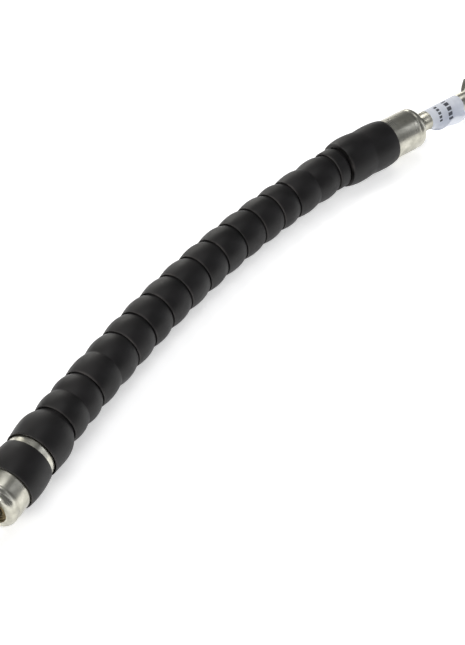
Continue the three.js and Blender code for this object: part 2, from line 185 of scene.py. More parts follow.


# %% [markdown]
# ## Finish 1: moulded thermoplastic
# Armour beads are moulded from a tough black plastic such as nylon or polyurethane. The mould leaves
# an even satin skin with no grain. The thin lips are painted grey in patches, a painted highlight for
# the light line that they catch. The recipe is a near-black body, a slow drift in roughness that
# breaks up the long soft highlights, a fine bump for the skin, and that grey painted highlight, which
# follows an attribute stored along each lip.

# %% Armour plastic
def moulded_plastic():
    material, tree, shader, place = new_material("moulded_armour_plastic")
    drift = add_node(tree, "ShaderNodeTexNoise", Vector=place, Scale=90.0, Detail=3.0, Roughness=0.55)
    skin = add_node(tree, "ShaderNodeTexNoise", Vector=place, Scale=1400.0, Detail=2.0)  # 0.7 mm grain
    # painted highlight: the lips are painted grey, in patches, for the light line that they catch
    lip_highlight_mask = add_node(tree, "ShaderNodeAttribute", {"attribute_name": "lip"})
    patch = add_node(tree, "ShaderNodeMapRange", Value=drift.outputs["Fac"], n1=0.35, n2=0.7, n3=0.0, n4=1.0)
    painted_lip_highlight = add_node(tree, "ShaderNodeMath", {"operation": "MULTIPLY"}, n0=lip_highlight_mask.outputs["Fac"],
                    n1=patch.outputs[0])
    body = add_node(tree, "ShaderNodeMix", {"data_type": "RGBA"}, Factor=patch.outputs[0],
                    n6=linear("#0d0c0c"), n7=linear("#151314"))
    colour = add_node(tree, "ShaderNodeMix", {"data_type": "RGBA"}, Factor=painted_lip_highlight.outputs[0],
                      n6=body.outputs[2], n7=linear("#3a3736"))
    rough = add_node(tree, "ShaderNodeMapRange", Value=drift.outputs["Fac"], n1=0.3, n2=0.75, n3=0.44, n4=0.6)
    bump = add_node(tree, "ShaderNodeBump", Height=skin.outputs["Fac"], Strength=0.25, Distance=0.00004)
    tree.links.new(colour.outputs[2], shader.inputs["Base Color"])
    tree.links.new(rough.outputs[0], shader.inputs["Roughness"])
    tree.links.new(bump.outputs["Normal"], shader.inputs["Normal"])
    shader.inputs["IOR"].default_value = 1.5
    shader.inputs["Specular IOR Level"].default_value = 0.32
    return material


armour_plastic = moulded_plastic()
print(armour_plastic.name, len(armour_plastic.node_tree.nodes), "nodes")

# %% [markdown]
# ## Finish 2: zinc-plated steel
# Ferrules, tubes and stems are turned or drawn steel with a clear zinc plating. It looks like warm
# silver with a satin sheen: the turning leaves fine rings round the piece, and plating and handling
# leave cloudy patches. Rings need a pattern that changes along the axis only, so the piece's own
# coordinates are turned by a Mapping node until Z is the axis, and then Z is scaled far more. The
# nuts are the same steel under a dark phosphate coat.

# %% Plated steel
def plated_steel(name, origin, run, light="#cfcdc1", dull="#a3a195", rough=(0.24, 0.42), rings=0.35):
    material, tree, shader, place = new_material(name)
    back = standing_at(origin, run).inverted()
    turn = back.to_euler()
    axial = add_node(tree, "ShaderNodeMapping", Vector=place, Rotation=turn, Location=back.translation)
    ring_scale = add_node(tree, "ShaderNodeMapping", Vector=axial.outputs[0], Scale=(40.0, 40.0, 2600.0))
    lines = add_node(tree, "ShaderNodeTexNoise", Vector=ring_scale.outputs[0], Scale=1.0, Detail=4.0)
    cloud = add_node(tree, "ShaderNodeTexNoise", Vector=place, Scale=150.0, Detail=4.0, Roughness=0.6)
    fine = add_node(tree, "ShaderNodeTexNoise", Vector=place, Scale=900.0, Detail=2.0)
    stain = add_node(tree, "ShaderNodeMapRange", Value=cloud.outputs["Fac"], n1=0.38, n2=0.72, n3=0.0, n4=1.0)
    colour = add_node(tree, "ShaderNodeMix", {"data_type": "RGBA"}, Factor=stain.outputs[0],
                      n6=linear(light), n7=linear(dull))
    mixed = add_node(tree, "ShaderNodeMath", {"operation": "MULTIPLY_ADD"}, n0=lines.outputs["Fac"], n1=0.5,
                     n2=cloud.outputs["Fac"])
    roughness = add_node(tree, "ShaderNodeMapRange", Value=mixed.outputs[0], n1=0.5, n2=1.05,
                         n3=rough[0], n4=rough[1])
    height = add_node(tree, "ShaderNodeMath", {"operation": "MULTIPLY_ADD"}, n0=lines.outputs["Fac"],
                      n1=1.0, n2=fine.outputs["Fac"])
    bump = add_node(tree, "ShaderNodeBump", Height=height.outputs[0], Strength=rings, Distance=0.00003)
    tree.links.new(colour.outputs[2], shader.inputs["Base Color"])
    tree.links.new(roughness.outputs[0], shader.inputs["Roughness"])
    tree.links.new(bump.outputs["Normal"], shader.inputs["Normal"])
    shader.inputs["Metallic"].default_value = 1.0
    return material


near_steel = plated_steel("zinc_plated_steel_near", near_start, -near_run)
far_steel = plated_steel("zinc_plated_steel_far", far_start, far_run)
PHOSPHATE = {"light": "#6f6d64", "dull": "#45443f", "rough": (0.35, 0.55), "rings": 0.5}
near_nut_steel = plated_steel("phosphated_nut_near", near_rim, -near_run, **PHOSPHATE)
far_nut_steel = plated_steel("phosphated_nut_far", far_rim, far_run, **PHOSPHATE)
print("steel finishes ready")

# %% [markdown]
# ## Finishes 3 to 6: braze, rubber, wire braid and label film
# The braze in the ferrule's nose is a brass alloy with flux stains, brown and uneven. The hose rubber
# is matt black and slightly chalky. The braid is bright wire, laid in two crossing sets; the pattern
# follows the hose, so it reads the hose's own UV map. The label is a printed film of polyester.

# %% Braze, rubber and film
def brazed_brass():
    material, tree, shader, place = new_material("flux_stained_braze")
    blotch = add_node(tree, "ShaderNodeTexNoise", Vector=place, Scale=500.0, Detail=5.0, Roughness=0.65)
    colour = add_node(tree, "ShaderNodeMix", {"data_type": "RGBA"}, Factor=blotch.outputs["Fac"],
                      n6=linear("#453a28"), n7=linear("#948565"))
    rough = add_node(tree, "ShaderNodeMapRange", Value=blotch.outputs["Fac"], n3=0.6, n4=0.35)
    bump = add_node(tree, "ShaderNodeBump", Height=blotch.outputs["Fac"], Strength=0.6, Distance=0.0002)
    tree.links.new(colour.outputs[2], shader.inputs["Base Color"])
    tree.links.new(rough.outputs[0], shader.inputs["Roughness"])
    tree.links.new(bump.outputs["Normal"], shader.inputs["Normal"])
    shader.inputs["Metallic"].default_value = 1.0
    return material


def hose_rubber():
    material, tree, shader, place = new_material("vulcanised_hose_rubber")
    chalk = add_node(tree, "ShaderNodeTexNoise", Vector=place, Scale=220.0, Detail=4.0)
    cloth_marks = add_node(tree, "ShaderNodeTexNoise", Vector=place, Scale=1800.0, Detail=1.0)
    colour = add_node(tree, "ShaderNodeMix", {"data_type": "RGBA"}, Factor=chalk.outputs["Fac"],
                      n6=linear("#101010"), n7=linear("#242322"))
    rough = add_node(tree, "ShaderNodeMapRange", Value=chalk.outputs["Fac"], n3=0.7, n4=0.9)
    bump = add_node(tree, "ShaderNodeBump", Height=cloth_marks.outputs["Fac"], Strength=0.5, Distance=0.00008)
    tree.links.new(colour.outputs[2], shader.inputs["Base Color"])
    tree.links.new(rough.outputs[0], shader.inputs["Roughness"])
    tree.links.new(bump.outputs["Normal"], shader.inputs["Normal"])
    shader.inputs["IOR"].default_value = 1.52
    return material


braze = brazed_brass()
rubber = hose_rubber()


# %% Wire braid and label film
WIRE_PITCH = 1.4  # mm between wires in one set


def wire_braid():
    material, tree, shader, _ = new_material("braided_spring_wire")
    own = add_node(tree, "ShaderNodeUVMap", {"uv_map": "lay"}).outputs["UV"]  # millimetres round and along
    part = add_node(tree, "ShaderNodeSeparateXYZ", Vector=own)
    sets = []
    for sign in (1.0, -1.0):
        slant = add_node(tree, "ShaderNodeMath", {"operation": "MULTIPLY_ADD"}, n0=part.outputs["Y"], n1=sign,
                         n2=part.outputs["X"])
        phase = add_node(tree, "ShaderNodeMath", {"operation": "MULTIPLY"}, n0=slant.outputs[0],
                         n1=2 * math.pi / WIRE_PITCH)
        sets.append(add_node(tree, "ShaderNodeMath", {"operation": "SINE"}, n0=phase.outputs[0]))
    crown = add_node(tree, "ShaderNodeMath", {"operation": "MAXIMUM"}, n0=sets[0].outputs[0],
                     n1=sets[1].outputs[0])
    lit = add_node(tree, "ShaderNodeMapRange", Value=crown.outputs[0], n1=-0.6, n2=0.9)
    colour = add_node(tree, "ShaderNodeMix", {"data_type": "RGBA"}, Factor=lit.outputs[0],
                      n6=linear("#3a362f"), n7=linear("#b3ab98"))
    bump = add_node(tree, "ShaderNodeBump", Height=crown.outputs[0], Strength=0.8, Distance=0.0002)
    tree.links.new(colour.outputs[2], shader.inputs["Base Color"])
    tree.links.new(bump.outputs["Normal"], shader.inputs["Normal"])
    shader.inputs["Metallic"].default_value = 1.0
    shader.inputs["Roughness"].default_value = 0.4
    return material


def label_film():
    material, tree, shader, place = new_material("printed_polyester_film")
    cloud = add_node(tree, "ShaderNodeTexNoise", Vector=place, Scale=260.0, Detail=3.0)
    crease = add_node(tree, "ShaderNodeTexNoise", Vector=place, Scale=420.0, Detail=2.0, Distortion=1.2)
    paper = add_node(tree, "ShaderNodeMix", {"data_type": "RGBA"}, Factor=cloud.outputs["Fac"],
                     n6=linear("#ced3de"), n7=linear("#e3e6ee"))
    # two rows of plain dashes, measured on the film's own map: they stand for print and say nothing
    own = add_node(tree, "ShaderNodeUVMap", {"uv_map": "lay"}).outputs["UV"]
    part = add_node(tree, "ShaderNodeSeparateXYZ", Vector=own)
    across = part.outputs["X"]
    ink = None
    for row_at, row_half, first, last, step, gap in DASH_ROWS:
        off = add_node(tree, "ShaderNodeMath", {"operation": "SUBTRACT"}, n0=part.outputs["Y"], n1=row_at)
        away = add_node(tree, "ShaderNodeMath", {"operation": "ABSOLUTE"}, n0=off.outputs[0])
        in_row = add_node(tree, "ShaderNodeMath", {"operation": "LESS_THAN"}, n0=away.outputs[0], n1=row_half)
        cut = add_node(tree, "ShaderNodeMath", {"operation": "MODULO"}, n0=across, n1=step)
        dash = add_node(tree, "ShaderNodeMath", {"operation": "GREATER_THAN"}, n0=cut.outputs[0], n1=gap)
        start = add_node(tree, "ShaderNodeMath", {"operation": "GREATER_THAN"}, n0=across, n1=first)
        end = add_node(tree, "ShaderNodeMath", {"operation": "LESS_THAN"}, n0=across, n1=last)
        for more in (dash, start, end):
            in_row = add_node(tree, "ShaderNodeMath", {"operation": "MULTIPLY"}, n0=in_row.outputs[0],
                              n1=more.outputs[0])
        ink = in_row if ink is None else add_node(tree, "ShaderNodeMath", {"operation": "MAXIMUM"},
                                                  n0=ink.outputs[0], n1=in_row.outputs[0])
    colour = add_node(tree, "ShaderNodeMix", {"data_type": "RGBA"}, Factor=ink.outputs[0],
                      n6=paper.outputs[2], n7=linear("#4c4e55"))
    bump = add_node(tree, "ShaderNodeBump", Height=crease.outputs["Fac"], Strength=0.35, Distance=0.0003)
    tree.links.new(colour.outputs[2], shader.inputs["Base Color"])
    tree.links.new(bump.outputs["Normal"], shader.inputs["Normal"])
    shader.inputs["Roughness"].default_value = 0.38
    shader.inputs["IOR"].default_value = 1.57
    return material


# row's place along the label, half its height, first and last place round it, dash step and gap, all mm
DASH_ROWS = [(6.0, 1.0, 3.0, 12.5, 2.1, 0.7), (13.2, 1.5, 1.5, 13.5, 2.9, 0.8)]
braid_wire = wire_braid()
film = label_film()
print("materials made:", len(bpy.data.materials))

# %% [markdown]
# ## A turning tool in Geometry Nodes
# Almost every piece here was made on a lathe or in a round mould, so its shape is one outline swept
# round an axis. Geometry Nodes can be that lathe. The tree takes a closed outline, sweeps it round a
# circle, and can roughen it a little, as no moulded skin is perfect. Its named inputs are the steps
# round, the wheel's radius, the unevenness with its patch size and seed, and the finish.

# %% The turning tree
WHEEL_R = 8.0 * MM  # radius of the circle that an outline is swept round


def turning_tree():
    tree = bpy.data.node_groups.new("turning", "GeometryNodeTree")
    tree.interface.new_socket("Outline", in_out="INPUT", socket_type="NodeSocketGeometry")
    for name, kind, value in (
        ("Steps round", "NodeSocketInt", 96), ("Wheel radius", "NodeSocketFloat", WHEEL_R),
        ("Unevenness", "NodeSocketFloat", 0.0), ("Patch size", "NodeSocketFloat", 0.01),
        ("Seed", "NodeSocketFloat", 0.0), ("Finish", "NodeSocketMaterial", None),
    ):
        socket = tree.interface.new_socket(name, in_out="INPUT", socket_type=kind)
        if value is not None:
            socket.default_value = value
    tree.interface.new_socket("Piece", in_out="OUTPUT", socket_type="NodeSocketGeometry")
    given = add_node(tree, "NodeGroupInput").outputs
    outline = add_node(tree, "GeometryNodeMeshToCurve", n0=given["Outline"])
    wheel = add_node(tree, "GeometryNodeCurvePrimitiveCircle", Resolution=given["Steps round"],
                     Radius=given["Wheel radius"])
    swept = add_node(tree, "GeometryNodeCurveToMesh", Curve=wheel.outputs[0],
                     Profile_Curve=outline.outputs[0])
    place = add_node(tree, "GeometryNodeInputPosition")
    per_patch = add_node(tree, "ShaderNodeMath", {"operation": "DIVIDE"}, n0=1.0, n1=given["Patch size"])
    patches = add_node(tree, "ShaderNodeTexNoise", {"noise_dimensions": "4D"}, Vector=place.outputs[0],
                       W=given["Seed"], Scale=per_patch.outputs[0], Detail=1.0)
    centred = add_node(tree, "ShaderNodeMath", {"operation": "SUBTRACT"}, n0=patches.outputs["Fac"], n1=0.5)
    amount = add_node(tree, "ShaderNodeMath", {"operation": "MULTIPLY"}, n0=centred.outputs[0],
                      n1=given["Unevenness"])
    out = add_node(tree, "GeometryNodeInputNormal")
    push = add_node(tree, "ShaderNodeVectorMath", {"operation": "SCALE"}, n0=out.outputs[0],
                    Scale=amount.outputs[0])
    uneven = add_node(tree, "GeometryNodeSetPosition", Geometry=swept.outputs[0], Offset=push.outputs[0])
    smooth = add_node(tree, "GeometryNodeSetShadeSmooth", n0=uneven.outputs[0])
    real = add_node(tree, "GeometryNodeRealizeInstances", n0=smooth.outputs[0])
    finished = add_node(tree, "GeometryNodeSetMaterial", Geometry=real.outputs[0], Material=given["Finish"])
    add_node(tree, "NodeGroupOutput", Piece=finished.outputs[0])
    return tree


turning = turning_tree()
print("turning tree:", len(turning.nodes), "nodes")

# %% [markdown]
# ## Outlines
# An outline is a closed loop of corners, each with its place along the axis, its radius, the size of
# its rounding, and how far it takes the grey painted highlight of a lip. Real edges are never sharp,
# and the rounding is what catches the light along them, so every corner is rounded before the sweep.

# %% Rounded outlines
ARC_STEPS = 4


def rounded(corners):
    """The outline with each corner cut back and bridged by a curve: (along, radius, lip) points in mm."""
    points = []
    for i, corner in enumerate(corners):
        along, radius, rounding, lip = (*corner, 0.0, 0.0)[:4]
        here = Vector((along, radius))
        before = Vector(corners[i - 1][:2]) - here
        after = Vector(corners[(i + 1) % len(corners)][:2]) - here
        reach = min(rounding, 0.45 * before.length, 0.45 * after.length)
        if reach < 1e-3:
            points.append((along, radius, lip))
            continue
        a, b = here + before.normalized() * reach, here + after.normalized() * reach
        for step in range(ARC_STEPS + 1):
            t = step / ARC_STEPS
            p = a * (1 - t) ** 2 + here * 2 * t * (1 - t) + b * t * t
            points.append((p.x, p.y, lip))
    return points


def crest(x0, r0, x1, r1, top, steps=14):
    """Corners over one hump, without its two ends."""
    found = []
    for i in range(1, steps):
        t = i / steps
        edge = r0 + (r1 - r0) * t
        found.append((x0 + (x1 - x0) * t, edge + (top - edge) * 4 * t * (1 - t)))
    return found


# %% Turning a piece
def input_key(tree, name):
    """The identifier by which a modifier knows the tree's input."""
    return next(item.identifier for item in tree.interface.items_tree
                if item.name == name and item.in_out == "INPUT")


def face_outwards(mesh):
    """Turns the whole closed mesh round if its faces point in."""
    solid = bmesh.new()
    solid.from_mesh(mesh)
    if solid.calc_volume(signed=True) < 0:
        bmesh.ops.reverse_faces(solid, faces=solid.faces)
        solid.to_mesh(mesh)
    volume = solid.calc_volume(signed=True)
    solid.free()
    return volume


def turned_mesh(name, corners, finish, steps=96, unevenness=0.0, patch=10.0, seed=0.0):
    """One outline swept into a mesh about Z."""
    points = rounded(corners)
    count = len(points)
    wire = bpy.data.meshes.new(name + "_outline")
    wire.from_pydata([(radius * MM - WHEEL_R, -along * MM, 0) for along, radius, _ in points],
                     [(i, (i + 1) % count) for i in range(count)], [])
    wire.attributes.new("lip", "FLOAT", "POINT").data.foreach_set("value", [lip for *_, lip in points])
    blank = bpy.data.objects.new(name + "_blank", wire)
    bpy.context.scene.collection.objects.link(blank)
    modifier = blank.modifiers.new("turning", "NODES")
    modifier.node_group = turning
    for key, value in (("Steps round", steps), ("Wheel radius", WHEEL_R), ("Unevenness", unevenness * MM),
                       ("Patch size", patch * MM), ("Seed", seed), ("Finish", finish)):
        modifier[input_key(turning, key)] = value
    blank.update_tag()
    evaluated = blank.evaluated_get(bpy.context.evaluated_depsgraph_get())
    mesh = bpy.data.meshes.new_from_object(evaluated)
    mesh.name = name
    blank.modifiers.remove(modifier)
    bpy.data.objects.remove(blank)
    bpy.data.meshes.remove(wire)
    face_outwards(mesh)
    return mesh


def put(name, mesh, body, slot, *nodes):
    """Makes the mesh a piece that rides on a body and stands for CAD nodes; its slot argument is not used."""
    piece = bpy.data.objects.new(name, mesh)
    bpy.context.scene.collection.objects.link(piece)
    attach(piece, body)
    if nodes:
        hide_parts(*nodes)
    return piece


def turned_piece(name, corners, finish, origin, run, body, slot, node, **how):
    mesh = turned_mesh(name, corners, finish, **how)
    mesh.transform(standing_at(origin, run))
    return put(name, mesh, body, slot, node)

# %% [markdown]
# ## The beads
# Each bead is a short cup with one or two humps. Its mouth takes the tail of the bead before it, and
# the humps stiffen the wall and keep the chain from scraping on its seams. The same outline rule
# makes all of them from their length and number of humps, so they are turned in one loop, each with
# its own seed. The first bead is wider, because its mouth takes the end of the ferrule.

# %% Bead sizes
HOSE_R = 8.0  # all in mm
BEAD_BORE_R = 8.6
TAIL_R = 9.25
MOUTH_R = 9.6
BEAD_R = 11.0
COLLAR_BORE_R = 11.15
COLLAR_R = 12.3
FAR_COLLAR_R = 12.6
MOUTH_FLARE = 0.15
LIP_REACH = 2.2
FIRST_LIP_REACH = 1.5
TAIL_REACH = 2.2
MOUTH_DEPTH = 3.6
MOUTH_CONE = 1.2  # length of the cone from mouth to bore
FERRULE_PLAY = 1.7  # from the ferrule's end to the step in the first bead
TAIL_SHOWN = 0.9
TIGHT_TAIL_SHOWN = 1.25  # where the chain is bent most at rest
FIRST_TIGHT_BEAD = 11  # counted from 0 at the near end
LAND_R = 9.4  # where the next lip rides
BROW_R = 9.75
LIP_WALL = 0.4
VALLEY_R = BEAD_R * 0.905
BAND_R = 10.5
EDGE = 0.16  # rounding of a lip


def tail_and_socket(pitch, shown):
    """The corners that all beads share: from the hump's foot round the tail to the socket."""
    foot = pitch - LIP_REACH - shown
    return [
        (foot, BROW_R, 0.25),
        (foot + 0.1, LAND_R, 0.1),
        (pitch - LIP_REACH + 0.5, LAND_R, 0.2),
        (pitch - LIP_REACH + 0.9, TAIL_R, 0.2),
        (pitch + TAIL_REACH, TAIL_R, EDGE),
        (pitch + TAIL_REACH, BEAD_BORE_R, EDGE),
    ]


def bead_corners(pitch, humps, shown):
    foot = pitch - LIP_REACH - shown
    start, start_r = -LIP_REACH, MOUTH_R + MOUTH_FLARE + LIP_WALL
    corners = [(start, start_r, EDGE, 1.0)]
    if humps == 0:
        corners += [(start + 0.6, BAND_R, 0.4), (foot - 0.8, BAND_R, 0.6)]
    elif humps == 1:
        corners += crest(start, start_r, foot, BROW_R, BEAD_R)
    else:
        middle = (start + foot) / 2
        corners += crest(start, start_r, middle, VALLEY_R, BEAD_R)
        corners += [(middle, VALLEY_R, 0.5), *crest(middle, VALLEY_R, foot, BROW_R, BEAD_R)]
    socket = [(MOUTH_DEPTH + MOUTH_CONE, BEAD_BORE_R, 0.4), (MOUTH_DEPTH, MOUTH_R, 0.4),
              (start, MOUTH_R + MOUTH_FLARE, EDGE, 1.0)]
    return corners + tail_and_socket(pitch, shown) + socket


def first_bead_corners(pitch, shown):
    foot = pitch - LIP_REACH - shown
    mouth_r = COLLAR_BORE_R + MOUTH_FLARE
    start, start_r = -FIRST_LIP_REACH, mouth_r + LIP_WALL
    depth = FERRULE_IN_BEAD + FERRULE_PLAY
    socket = [(depth + mouth_r - BEAD_BORE_R, BEAD_BORE_R, 0.6), (depth, mouth_r, 0.6),
              (start, mouth_r, EDGE, 1.0)]
    return [(start, start_r, EDGE, 1.0), *crest(start, start_r, foot, BROW_R, COLLAR_R),
            *tail_and_socket(pitch, shown), *socket]


# %% Turn the beads
HUMPS = [1, 2, 2, 1, 1, 1, 1, 1, 1, 1, 1, 1, 2, 0]
UNEVEN = 0.12  # mm, how far a moulded skin wanders
SKIN_PATCH = 9.0  # mm across each high or low patch
for i, (pitch, humps) in enumerate(zip(pitches, HUMPS)):
    name = f"bead_{i + 2:02d}"
    shown = TIGHT_TAIL_SHOWN if i >= FIRST_TIGHT_BEAD else TAIL_SHOWN
    corners = first_bead_corners(pitch, shown) if i == 0 else bead_corners(pitch, humps, shown)
    turned_piece(name + "_shell", corners, armour_plastic, centres[i], runs[i], name, "armour_plastic", name,
                 unevenness=UNEVEN, patch=SKIN_PATCH, seed=3.1 * i)
print("beads turned:", len(HUMPS))

# %% [markdown]
# ## The end collars
# At the near end the last bead is cut to a plain band that slides on the ferrule, so a little bright
# steel shows beyond it. At the far end a longer piece with two swellings is pushed over the ferrule
# and stays there. Both are the same plastic, so the same lathe and finish serve.

# %% Collars
FAR_COLLAR_END = 30.4  # mm past the last centre
FAR_COLLAR_STEP = 13.3  # where the bore widens for the ferrule
NEAR_EDGE_WALL = 0.45
FAR_EDGE_WALL = 0.4
FAR_VALLEY_WALL = 0.85
FAR_LIP_DROP = 1.0  # below the first swelling's crest
FAR_CREST_DROP = 0.25  # of the second swelling below the first


def near_collar_corners():
    edge_r = COLLAR_BORE_R + NEAR_EDGE_WALL
    humped = crest(0, edge_r, COLLAR_LENGTH, edge_r, COLLAR_R, steps=18)
    return [(0, edge_r, EDGE, 1.0), *humped, (COLLAR_LENGTH, edge_r, EDGE, 1.0),
            (COLLAR_LENGTH, COLLAR_BORE_R, EDGE, 1.0), (0, COLLAR_BORE_R, EDGE, 1.0)]


def far_collar_corners():
    middle = (FAR_COLLAR_END - LIP_REACH) / 2
    lip_r = FAR_COLLAR_R - FAR_LIP_DROP
    valley_r, edge_r = COLLAR_BORE_R + FAR_VALLEY_WALL, COLLAR_BORE_R + FAR_EDGE_WALL
    return [
        (-LIP_REACH, lip_r, EDGE, 1.0),
        *crest(-LIP_REACH, lip_r, middle, valley_r, FAR_COLLAR_R),
        (middle, valley_r, 1.0),
        *crest(middle, valley_r, FAR_COLLAR_END, edge_r, FAR_COLLAR_R - FAR_CREST_DROP),
        (FAR_COLLAR_END, edge_r, EDGE, 1.0),
        (FAR_COLLAR_END, COLLAR_BORE_R, EDGE, 1.0),
        (FAR_COLLAR_STEP, COLLAR_BORE_R, 0.5),
        (FAR_COLLAR_STEP - (COLLAR_BORE_R - BEAD_BORE_R), BEAD_BORE_R, 0.5),
        (MOUTH_DEPTH + MOUTH_CONE, BEAD_BORE_R, 0.4),
        (MOUTH_DEPTH, MOUTH_R, 0.4),
        (-LIP_REACH, MOUTH_R + MOUTH_FLARE, EDGE, 1.0),
    ]


collar_start = centres[0] - near_run * (COLLAR_BEHIND + COLLAR_LENGTH) * MM
turned_piece("near_collar_shell", near_collar_corners(), armour_plastic, collar_start, near_run,
             "end_collar", "armour_plastic", "near_collar", unevenness=UNEVEN, patch=SKIN_PATCH, seed=50.0)
turned_piece("far_collar_shell", far_collar_corners(), armour_plastic, centres[-1], far_run,
             "far_end", "armour_plastic", "far_collar", unevenness=UNEVEN, patch=SKIN_PATCH, seed=51.0)
print("collars turned")

# %% [markdown]
# ## The ferrules and what they hold
# A ferrule is a steel cup, pressed down over the hose in a ring of dies. Inside it a barbed stem
# holds the hose from within. The ferrule's nose is rolled in, and the tube is brazed into the stem
# there, which leaves the brown ring that shows round the tube. These are turned pieces again.

# %% Ferrule, stem, braze and tube outlines
FERRULE_LENGTH = 37.0
FERRULE_R = 10.8
FERRULE_BORE_R = 8.35
NOSE_START = 32.8
DIE_GROOVE = 0.3  # depth of the line that the dies leave before the nose
NOSE_BORE_R = 6.45
NOSE_LIP_R = 7.7
RECESS_R = 7.1
RECESS = 1.8  # mm deep
POCKET = 24.5
SEAT_GAP = 0.3  # between pieces that seat on each other
SOCKET_AT = 31.5
STEM_START = 3.0
STEM_COLLAR_AT = POCKET + SEAT_GAP
STEM_COLLAR_R = 6.1
BARB_PITCH, BARB_RISE = 6.0, 4.5  # mm from barb to barb, and along each slope
BARB_R, BARB_ROOT_R, STEM_BORE_R = 4.45, 4.0, 3.1
TUBE_R, TUBE_BORE_R = 5.0, 3.5
RIM = 95.0  # the flare's rim, past the ferrule's hose side
FLARE_RISE = 1.6
FLARE_LENGTH = FLARE_RISE / math.tan(math.radians(37))


def ferrule_corners():
    shoulder, shoulder_r = NOSE_START + 1.0, FERRULE_R - 0.1
    nose = []
    for i in range(1, 10):
        turn = i / 10 * math.pi / 2
        nose.append((shoulder + (FERRULE_LENGTH - shoulder) * math.sin(turn) ** 0.9,
                     NOSE_LIP_R + (shoulder_r - NOSE_LIP_R) * math.cos(turn) ** 0.9))
    return [
        (0, FERRULE_R, 0.4), (NOSE_START - 1.2, FERRULE_R, 0.3),
        (NOSE_START - 0.7, FERRULE_R - DIE_GROOVE, 0.3), (NOSE_START + 0.1, FERRULE_R - DIE_GROOVE, 0.3),
        (shoulder, shoulder_r, 0.6), *nose,
        (FERRULE_LENGTH, NOSE_LIP_R, 0.2), (FERRULE_LENGTH, RECESS_R, 0.25),
        (FERRULE_LENGTH - RECESS, RECESS_R, 0.2), (FERRULE_LENGTH - RECESS, NOSE_BORE_R),
        (POCKET, NOSE_BORE_R), (POCKET, FERRULE_BORE_R), (0, FERRULE_BORE_R, 0.3),
    ]


def stem_corners():
    barbs = []
    for i in range(3):
        x = BARB_PITCH * (i + 0.83)
        top = x + BARB_RISE
        barbs += [(x, BARB_ROOT_R, 0.2), (top, BARB_R, 0.1), (top + 0.12, BARB_ROOT_R, 0.1)]
    return [(STEM_START, STEM_BORE_R + 0.45, 0.2), *barbs, (STEM_COLLAR_AT, BARB_ROOT_R),
            (STEM_COLLAR_AT, STEM_COLLAR_R, 0.2), (SOCKET_AT, STEM_COLLAR_R),
            (SOCKET_AT, STEM_BORE_R, 0.2), (STEM_START, STEM_BORE_R, 0.2)]


def braze_corners():
    start, inner = SOCKET_AT + SEAT_GAP, TUBE_R + 0.06
    floor_at = FERRULE_LENGTH - RECESS
    return [(start, STEM_COLLAR_R + 0.2), (floor_at + 0.03, STEM_COLLAR_R + 0.2),
            (floor_at + 0.03, RECESS_R - 0.05, 0.05), (floor_at + 0.35, RECESS_R - 0.15, 0.2),
            (floor_at + 0.25, TUBE_R + 0.9, 0.5), (floor_at + 0.9, TUBE_R + 0.15, 0.1),
            (floor_at + 0.9, inner), (start, inner)]


def tube_corners():
    start, foot, lip = SOCKET_AT + SEAT_GAP, RIM - FLARE_LENGTH, RIM + 0.5
    flare_r = TUBE_R + FLARE_RISE
    return [(start, TUBE_R), (foot, TUBE_R, 0.8), (RIM, flare_r, 0.2), (lip, flare_r - 0.4, 0.1),
            (lip, flare_r - 1.1, 0.2), (foot + 0.2, TUBE_BORE_R, 0.6), (start, TUBE_BORE_R)]


# %% Turn both ends
ENDS = {"near": (near_start, -near_run, near_rim, near_steel, near_nut_steel),
        "far": (far_start, far_run, far_rim, far_steel, far_nut_steel)}
for side, (start, run, rim, steel, _) in ENDS.items():
    body = side + "_end"
    for part, corners, finish, slot in (
        ("ferrule", ferrule_corners(), steel, "plated_steel"),
        ("stem", stem_corners(), steel, "plated_steel"),
        ("braze_ring", braze_corners(), braze, "braze_brass"),
        ("tube", tube_corners(), steel, "plated_steel"),
    ):
        turned_piece(f"{side}_{part}_turned", corners, finish, start, run, body, slot, f"{side}_{part}",
                     steps=128, unevenness=0.25 if part == "braze_ring" else 0.0, patch=1.5)
print("ferrules, stems, braze and tubes turned")

# %% [markdown]
# ## Sleeves and nuts
# A sleeve slides behind the flare, and the nut pulls it. The nut is hexagon bar: a lathe cuts the
# cone that bevels its corners, the shoulder and the thread. A plain turning tree cannot make six
# flats or a helix, so the nut is built in mesh code from rings of points: each point's radius is the
# least of the flat and the cone outside, and the thread's height at that angle inside.

# %% Sleeves
SLEEVE_BORE_R, SLEEVE_R, SLEEVE_FLANGE_R = 5.3, 6.2, 6.9
SLEEVE_LENGTH, SLEEVE_FLANGE = 12.5, 4.0


def sleeve_corners():
    slope = math.tan(math.radians(37))
    def seat(radius):
        return -FLARE_LENGTH + (radius - SLEEVE_BORE_R) / slope - 0.1
    face = seat(SLEEVE_FLANGE_R - 0.5)
    return [(face - SLEEVE_LENGTH, SLEEVE_R, 0.3), (face - SLEEVE_FLANGE - 0.7, SLEEVE_R, 0.3),
            (face - SLEEVE_FLANGE, SLEEVE_FLANGE_R, 0.2), (face, SLEEVE_FLANGE_R, 0.2),
            (face, SLEEVE_FLANGE_R - 0.5), (seat(SLEEVE_BORE_R), SLEEVE_BORE_R),
            (face - SLEEVE_LENGTH, SLEEVE_BORE_R, 0.2)]


for side, (_, run, rim, steel, _) in ENDS.items():
    turned_piece(f"{side}_sleeve_turned", sleeve_corners(), steel, rim, run, f"{side}_sleeve", "plated_steel",
                 f"{side}_sleeve")
sleeve_shoulder = sleeve_corners()[2][0]
print("sleeves turned, shoulder at", round(sleeve_shoulder, 2))

# %% Nuts
NUT_FLAT_R = 9.5  # half of 19 mm across flats
NUT_FRONT, NUT_BACK = 7.0, -12.0
NUT_BACK_R, NUT_THREAD_R = 6.5, 7.3
THREAD_PITCH = 1.5
THREAD_HEIGHT = 0.75  # cut outwards from the plain bore
THREAD_POINTS = 8  # along each pitch
NUT_FACE_R = 9.1  # where the bevelling cone starts
NUT_MOUTH = 0.6  # length of the cone into the thread
SLEEVE_PLAY = 1.05  # behind the sleeve's shoulder
NUT_STEPS = 144


